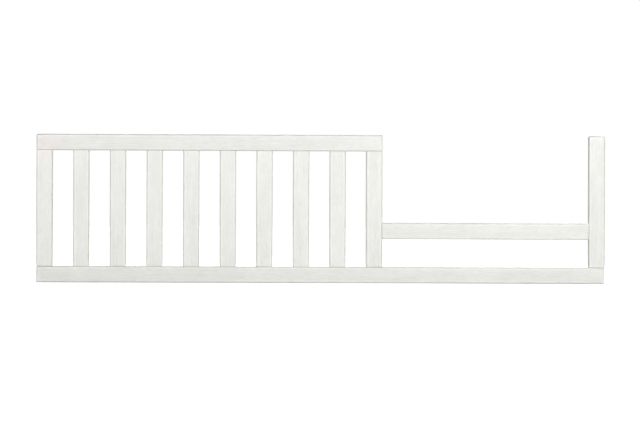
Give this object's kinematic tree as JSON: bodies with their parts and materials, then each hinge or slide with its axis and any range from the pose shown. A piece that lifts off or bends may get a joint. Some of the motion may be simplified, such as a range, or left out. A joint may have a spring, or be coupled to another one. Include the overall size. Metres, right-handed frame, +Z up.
{
  "type": "toddler bed guard rail",
  "caption": "White wooden conversion rail for a crib: a slatted guard on one side and a low entry rail on the other, over one long bottom rail.",
  "frame": {"origin": "under the middle of the bottom rail, at its lowest face", "axes": "+Z up, +X along the rail from the slatted guard to the entry opening, -Y out of the bed"},
  "size_m": [1.33, 0.022, 0.346],
  "materials": {
    "painted_wood": "satin white paint over a fine wood grain",
    "beech": "bare beech, fluted and compressed",
    "zinc_plated_steel": "bright zinc plate"
  },
  "bodies": {
    "root": {"top_rail": "painted_wood", "bottom_rail": "painted_wood", "entry_rail": "painted_wood", "left_end_post": "painted_wood", "guard_post": "painted_wood", "right_end_post": "painted_wood", "slat_1": "painted_wood", "slat_2": "painted_wood", "slat_3": "painted_wood", "slat_4": "painted_wood", "slat_5": "painted_wood", "slat_6": "painted_wood", "slat_7": "painted_wood", "slat_8": "painted_wood", "left_post_top_dowel_1": "beech", "left_post_top_dowel_2": "beech", "left_post_bottom_dowel_1": "beech", "left_post_bottom_dowel_2": "beech", "guard_post_top_dowel_1": "beech", "guard_post_top_dowel_2": "beech", "guard_post_bottom_dowel_1": "beech", "guard_post_bottom_dowel_2": "beech", "right_post_bottom_dowel_1": "beech", "right_post_bottom_dowel_2": "beech", "entry_rail_left_dowel_1": "beech", "entry_rail_left_dowel_2": "beech", "entry_rail_right_dowel_1": "beech", "entry_rail_right_dowel_2": "beech", "insert_left_lower": "zinc_plated_steel", "insert_left_upper": "zinc_plated_steel", "insert_right_lower": "zinc_plated_steel", "insert_right_upper": "zinc_plated_steel"}
  },
  "joints": []
}
